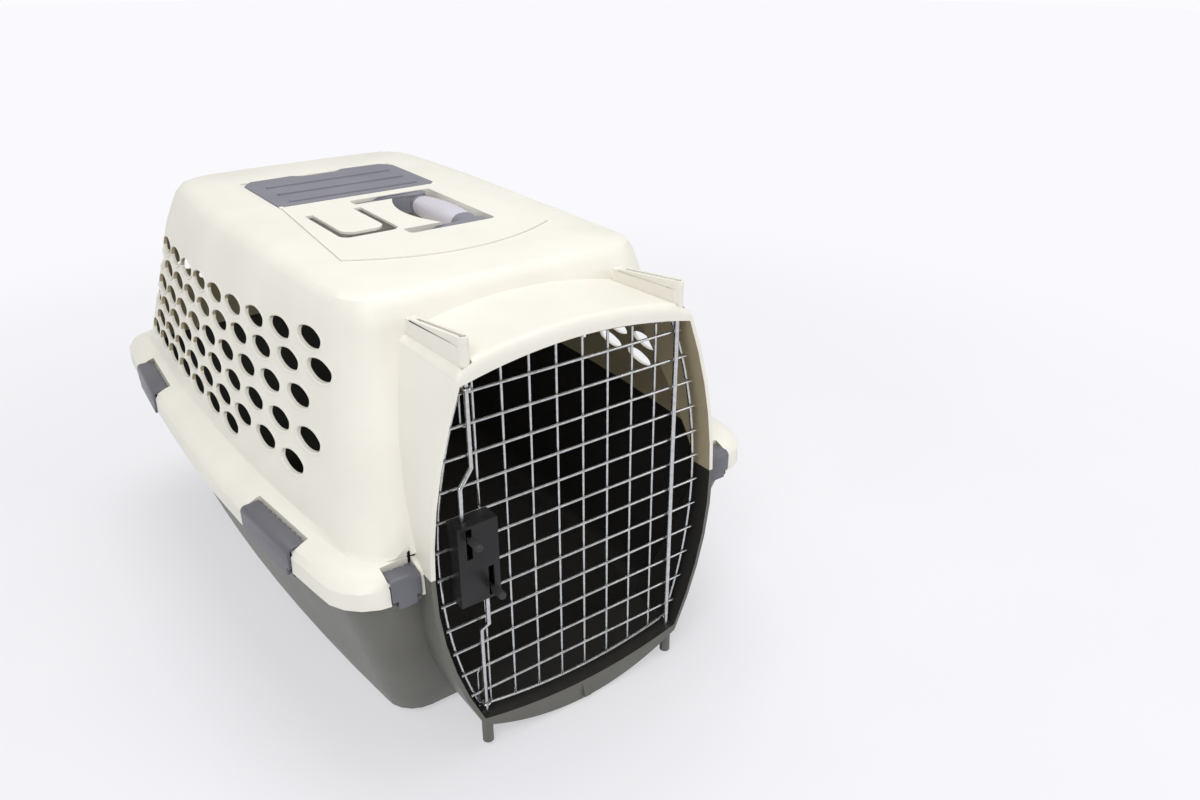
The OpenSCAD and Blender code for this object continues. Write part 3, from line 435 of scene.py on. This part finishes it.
def makeCowl():
    c = cowl
    near, far = c["socket"]
    columns = [c["cornerX"], 112.4, 111, 109, far, near, 95, 88, 78, 66, 52, 36, 18, 0]
    xs = [-x for x in columns] + columns[-2::-1]
    ys = [c["front"] + r for r in c["rows"]]

    def roofZ(x):
        return c["middleZ"] - c["cornerDrop"] * (x / c["cornerX"]) ** 2

    def lift(x, y):
        t = y - c["front"]
        if t < c["roll"]:
            g = c["high"] * math.sqrt(1 - (1 - t / c["roll"]) ** 2)
        else:
            share = (t - c["roll"]) / (c["back"] - c["front"] - c["roll"])
            g = c["high"] + (c["low"] - c["high"]) * share
        over = (abs(x) - c["shoulderX"]) / (c["cornerX"] - c["shoulderX"])
        return g * math.sqrt(max(0, 1 - max(over, 0) ** 2))

    shape = bmesh.new()
    top, low = {}, {}
    for i, x in enumerate(xs):
        for j, y in enumerate(ys):
            top[i, j] = shape.verts.new((x * mm, (y - midY) * mm, (roofZ(x) + lift(x, y)) * mm))
            low[i, j] = shape.verts.new((x * mm, (y - midY) * mm, (roofZ(x) - c["sink"]) * mm))
    kept = set()
    for i in range(len(xs) - 1):
        for j in range(len(ys) - 1):
            middle = abs(xs[i] + xs[i + 1]) / 2
            inSocket = near < middle < far and (ys[j] + ys[j + 1]) / 2 > c["socketFront"]
            if not inSocket:
                kept.add((i, j))
    for i, j in kept:
        shape.faces.new((top[i, j], top[i + 1, j], top[i + 1, j + 1], top[i, j + 1]))
        shape.faces.new((low[i, j], low[i, j + 1], low[i + 1, j + 1], low[i + 1, j]))
        for (di, dj), a, b in cellSides:
            if (i + di, j + dj) not in kept:
                p, q = (i + a[0], j + a[1]), (i + b[0], j + b[1])
                shape.faces.new((top[q], top[p], low[p], low[q]))
    loose = [v for v in shape.verts if not v.link_faces]
    bmesh.ops.delete(shape, geom=loose, context="VERTS")
    piece = addPiece("arch_cowl", finishMesh(shape, "archCowl"), creamShell, "carrier")
    sharpen(piece, 50)
    print("cowl made")


makeCowl()

# thin walls that raise the rod sockets round their slots
socketRim = {
    "x": 102, "rodY": -4.82, "half": 4.5, "slot": 1.5, "bore": 2.75, "slotBack": 68, "end": 73,
    "top": (393, 382.5), "bottom": (385.2, 380), "legs": [73, 60, 40, 20, 6], "steps": 12, "edge": 0.5,
}


def makeSocketRims():
    r = socketRim
    shape = bmesh.new()
    span = r["end"] - r["rodY"]
    for side in (-1, 1):
        outer, inner = [], []
        for y in r["legs"]:
            outer.append((-r["half"], y))
            inner.append((-r["slot"], min(y, r["slotBack"])))
        start = math.degrees(math.acos(-r["slot"] / r["bore"]))
        for k in range(r["steps"] + 1):
            a = math.radians(180 + 180 * k / r["steps"])
            b = math.radians(start + (540 - 2 * start) * k / r["steps"])
            outer.append((r["half"] * math.cos(a), r["rodY"] + r["half"] * math.sin(a)))
            inner.append((r["bore"] * math.cos(b), r["rodY"] + r["bore"] * math.sin(b)))
        for y in r["legs"][::-1]:
            outer.append((r["half"], y))
            inner.append((r["slot"], min(y, r["slotBack"])))

        def heights(y):
            t = max((y - r["rodY"]) / span, 0)
            return tuple(r[edge][0] + (r[edge][1] - r[edge][0]) * t for edge in ("bottom", "top"))

        loops = []
        for line, which in ((outer, 0), (outer, 1), (inner, 1), (inner, 0)):
            loops.append([shape.verts.new(((side * r["x"] + x) * mm, (y - midY) * mm, heights(y)[which] * mm))
                          for x, y in line])
        for low, high in zip(loops, loops[1:] + loops[:1]):
            for i in range(len(low)):
                j = (i + 1) % len(low)
                shape.faces.new((low[i], low[j], high[j], high[i]))
    piece = addPiece("socket_rims", finishMesh(shape, "socketRims"), creamShell, "carrier")
    roundEdges(piece, r["edge"], 40)
    sharpen(piece)
    print("socket rims made")


makeSocketRims()

# the soft grip: a full oval that swells in the middle, with two shallow grooves along its top
grip = {
    "x": 51, "y": 306, "z": 386, "half": 54, "wide": 15.5, "wideEnd": 11, "tall": 12.4, "tallEnd": 9.6,
    "shift": 1.2, "groove": 0.35, "grooveAngles": (62, 118), "grooveHalf": 4.5, "grooveTo": 0.9,
    "taper": 2.2, "squareness": 0.85, "steps": 26, "round": 48,
    "collar": 0.3, "collarGrow": 0.55, "collarSteps": 6, "tail": 0.1, "tailGrow": 0.5, "tailSteps": 3,
    "end": (0.93, 0.7), "nose": [(0.72, -4.5), (0.93, -2)], "lip": (0.96, 0.6), "tailEnd": (0.85, 3),
}


# the grip's outline at u, which runs from -1 at its front end to 1 at its back end
def gripRing(u, grow=0):
    g = grip
    wide = g["wide"] + (g["wideEnd"] - g["wide"]) * abs(u) ** g["taper"] + grow
    tall = g["tall"] + (g["tallEnd"] - g["tall"]) * abs(u) ** g["taper"] + grow
    middleX = g["x"] + g["shift"] * (1 - u * u)
    y = g["y"] + u * g["half"] - midY
    ring = []
    for k in range(g["round"]):
        angle = 2 * math.pi * k / g["round"]
        c, s = math.cos(angle), math.sin(angle)
        x = wide * math.copysign(abs(c) ** g["squareness"], c)
        z = tall * math.copysign(abs(s) ** g["squareness"], s)
        inGroove = any(abs(math.degrees(angle) - a) < g["grooveHalf"] for a in g["grooveAngles"])
        if inGroove and grow == 0 and abs(u) < g["grooveTo"]:
            x, z = x * (1 - g["groove"] / wide), z * (1 - g["groove"] / tall)
        ring.append(((middleX + x) * mm, y * mm, (g["z"] + z) * mm))
    return ring


# the same ring made smaller by a share and moved back by step millimetres, to close an end roundly
def endRing(ring, share, step):
    middle = [sum(p[i] for p in ring) / len(ring) for i in range(3)]
    smaller = [[middle[i] + (p[i] - middle[i]) * share for i in range(3)] for p in ring]
    return [(x, y + step * mm, z) for x, y, z in smaller]


def makeGrip():
    shape = bmesh.new()
    g = grip
    rings = [gripRing(2 * i / g["steps"] - 1) for i in range(g["steps"] + 1)]
    share, step = g["end"]
    skinRings(shape, [endRing(rings[0], share, -step)] + rings + [endRing(rings[-1], share, step)])
    piece = addPiece("soft_grip", finishMesh(shape, "softGrip"), gripPlastic, "handle")
    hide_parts("handle_grip")

    shape = bmesh.new()
    steps = g["collarSteps"]
    collar = [gripRing(-1 + g["collar"] * i / steps, g["collarGrow"]) for i in range(steps + 1)]
    nose = [endRing(collar[0], *end) for end in g["nose"]]
    skinRings(shape, nose + collar + [endRing(collar[-1], *g["lip"])])
    steps = g["tailSteps"]
    tail = [gripRing(1 - g["tail"] + g["tail"] * i / steps, g["tailGrow"]) for i in range(steps + 1)]
    skinRings(shape, tail + [endRing(tail[-1], *g["tailEnd"])])
    piece = addPiece("grip_collar", finishMesh(shape, "gripCollar"), slateTop, "handle")
    sharpen(piece, 40)
    print("grip made")


makeGrip()

# the arms carry flat blades that lie nearly flush with the panel and widen into the collars
blade = {
    "armY": 66, "low": 391, "high": 397.2, "eyeHigh": 394.5, "rampFrom": 5, "chamfer": 0.5, "edge": 0.5,
    "outline": [(-14, -3.4), (-14, 3.2), (2, 3.2), (10, 3.4), (20, 3.6), (32, 5.5), (41, 9), (50, 11),
                (58, 9.5), (62, 3), (60, -3.4), (10, -3.4), (2, -3.4)],
}


def makeBlades():
    b = blade
    shape = bmesh.new()
    for side in (-1, 1):
        rows = []
        for height, inset in ((b["low"], 0), (b["high"] - b["chamfer"], 0), (b["high"], b["chamfer"])):
            ring = []
            for x, y in b["outline"]:
                top = min(height, b["eyeHigh"] - inset) if x < b["rampFrom"] else height
                inward = inset * (1 if y < 0 else -1)
                across = side * (b["armY"] - y - inward)
                ring.append((x * mm, (grip["y"] + across - midY) * mm, top * mm))
            rows.append(ring)
        skinRings(shape, rows)
    piece = addPiece("arm_blades", finishMesh(shape, "armBlades", False), slateTop, "handle")
    roundEdges(piece, b["edge"], 35)
    print("arm blades made")


makeBlades()


# round wire along a path, as one tube
def tube(shape, path, diameter, sides=10):
    radius = diameter / 2
    points = [Vector(p) for p in path]
    rings = []
    up = None
    for i, point in enumerate(points):
        along = (points[min(i + 1, len(points) - 1)] - points[max(i - 1, 0)]).normalized()
        if up is None:
            up = along.orthogonal().normalized()
        up = (up - along * up.dot(along)).normalized()
        side = along.cross(up)
        turns = [2 * math.pi * k / sides for k in range(sides)]
        rings.append([point + (up * math.cos(turn) + side * math.sin(turn)) * radius for turn in turns])
    skinRings(shape, rings)


# bent wire staples behind the latch rods, welded to the cross wires
staples = {"xs": (-105.6, -98.4), "y": 0.75, "wire": 1.9, "spans": [(350, 317), (46, 81)], "steps": 8}


def makeStaples():
    shape = bmesh.new()
    left, right = staples["xs"]
    radius = (right - left) / 2
    for start, end in staples["spans"]:
        way = 1 if end > start else -1
        path = [(left, start), (left, (start + end) / 2)]
        for k in range(staples["steps"] + 1):
            angle = math.pi * k / staples["steps"]
            path.append((left + radius * (1 - math.cos(angle)), end + way * radius * (math.sin(angle) - 1)))
        path += [(right, (start + end) / 2), (right, start)]
        tube(shape, [(x * mm, (staples["y"] - midY) * mm, z * mm) for x, z in path], staples["wire"] * mm)
    addPiece("rod_staples", finishMesh(shape, "rodStaples"), doorWire, "door")
    print("staples made")


makeStaples()

# studio: a pale floor that fades into a white surround
studio = {
    "floorSize": 9, "floorZ": -0.0006, "fadeFrom": 0.45, "fadeTo": 1.5, "glow": 0.5, "surround": 0.5,
    "paper": ((0.80, 0.80, 0.835), (0.83, 0.83, 0.86)), "paperRough": 0.55,
    "farColour": (0.955, 0.95, 0.985, 1), "backColour": (0.97, 0.965, 0.99, 1),
}


def makeFloorMaterial():
    material, tree, shader = newMaterial("paleFloor")
    paper = noise(tree, 3, 2)
    tint = tintBetween(tree, paper, *studio["paper"])
    link(tree, tint, "Color", shader, "Base Color")
    shader.inputs["Roughness"].default_value = studio["paperRough"]
    glow = tree.nodes.new("ShaderNodeEmission")
    glow.inputs["Color"].default_value = studio["farColour"]
    coords = tree.nodes.new("ShaderNodeTexCoord")
    distance = tree.nodes.new("ShaderNodeVectorMath")
    distance.operation = "LENGTH"
    link(tree, coords, "Object", distance, 0)
    fade = tree.nodes.new("ShaderNodeMapRange")
    fade.interpolation_type = "SMOOTHSTEP"
    fade.inputs["From Min"].default_value = studio["fadeFrom"]
    fade.inputs["From Max"].default_value = studio["fadeTo"]
    fade.inputs["To Min"].default_value = studio["glow"]
    link(tree, distance, "Value", fade, "Value")
    mix = tree.nodes.new("ShaderNodeMixShader")
    link(tree, fade, "Result", mix, 0)
    tree.links.new(shader.outputs[0], mix.inputs[1])
    tree.links.new(glow.outputs[0], mix.inputs[2])
    tree.links.new(mix.outputs[0], tree.nodes["Material Output"].inputs["Surface"])
    return material


def makeStudio():
    shape = bmesh.new()
    bmesh.ops.create_circle(shape, cap_ends=True, segments=96, radius=studio["floorSize"])
    mesh = bpy.data.meshes.new("floor")
    shape.to_mesh(mesh)
    shape.free()
    floor = bpy.data.objects.new("floor", mesh)
    floor.location.z = studio["floorZ"]
    bpy.context.scene.collection.objects.link(floor)
    mesh.materials.append(makeFloorMaterial())

    world = bpy.data.worlds.new("surround")
    bpy.context.scene.world = world
    world.use_nodes = True
    tree = world.node_tree
    backdrop = tree.nodes["Background"]
    backdrop.inputs["Color"].default_value = (1, 1, 1, 1)
    backdrop.inputs["Strength"].default_value = studio["surround"]
    seen = tree.nodes.new("ShaderNodeBackground")
    seen.inputs["Color"].default_value = studio["backColour"]
    seen.inputs["Strength"].default_value = 1
    path = tree.nodes.new("ShaderNodeLightPath")
    mix = tree.nodes.new("ShaderNodeMixShader")
    link(tree, path, "Is Camera Ray", mix, 0)
    tree.links.new(backdrop.outputs[0], mix.inputs[1])
    tree.links.new(seen.outputs[0], mix.inputs[2])
    tree.links.new(mix.outputs[0], tree.nodes["World Output"].inputs["Surface"])


lamps = [
    {"name": "keyLight", "at": (-1.5, -1.6, 2.2), "aim": (0, 0, 0.2), "size": 1.4, "power": 30},
    {"name": "topLight", "at": (0.3, 0.2, 2.4), "aim": (0, 0, 0.3), "size": 1.8, "power": 24},
    {"name": "rightFill", "at": (1.8, -1.6, 1.0), "aim": (0, 0, 0.2), "size": 1.5, "power": 11},
]


def makeLamps():
    for lamp in lamps:
        data = bpy.data.lights.new(lamp["name"], "AREA")
        data.shape = "DISK"
        data.size = lamp["size"]
        data.energy = lamp["power"]
        light = bpy.data.objects.new(lamp["name"], data)
        light.location = lamp["at"]
        aim = Vector(lamp["aim"]) - Vector(lamp["at"])
        light.rotation_euler = aim.to_track_quat("-Z", "Y").to_euler()
        bpy.context.scene.collection.objects.link(light)


makeStudio()
makeLamps()
bpy.context.scene.view_settings.view_transform = "Standard"
print("studio ready")
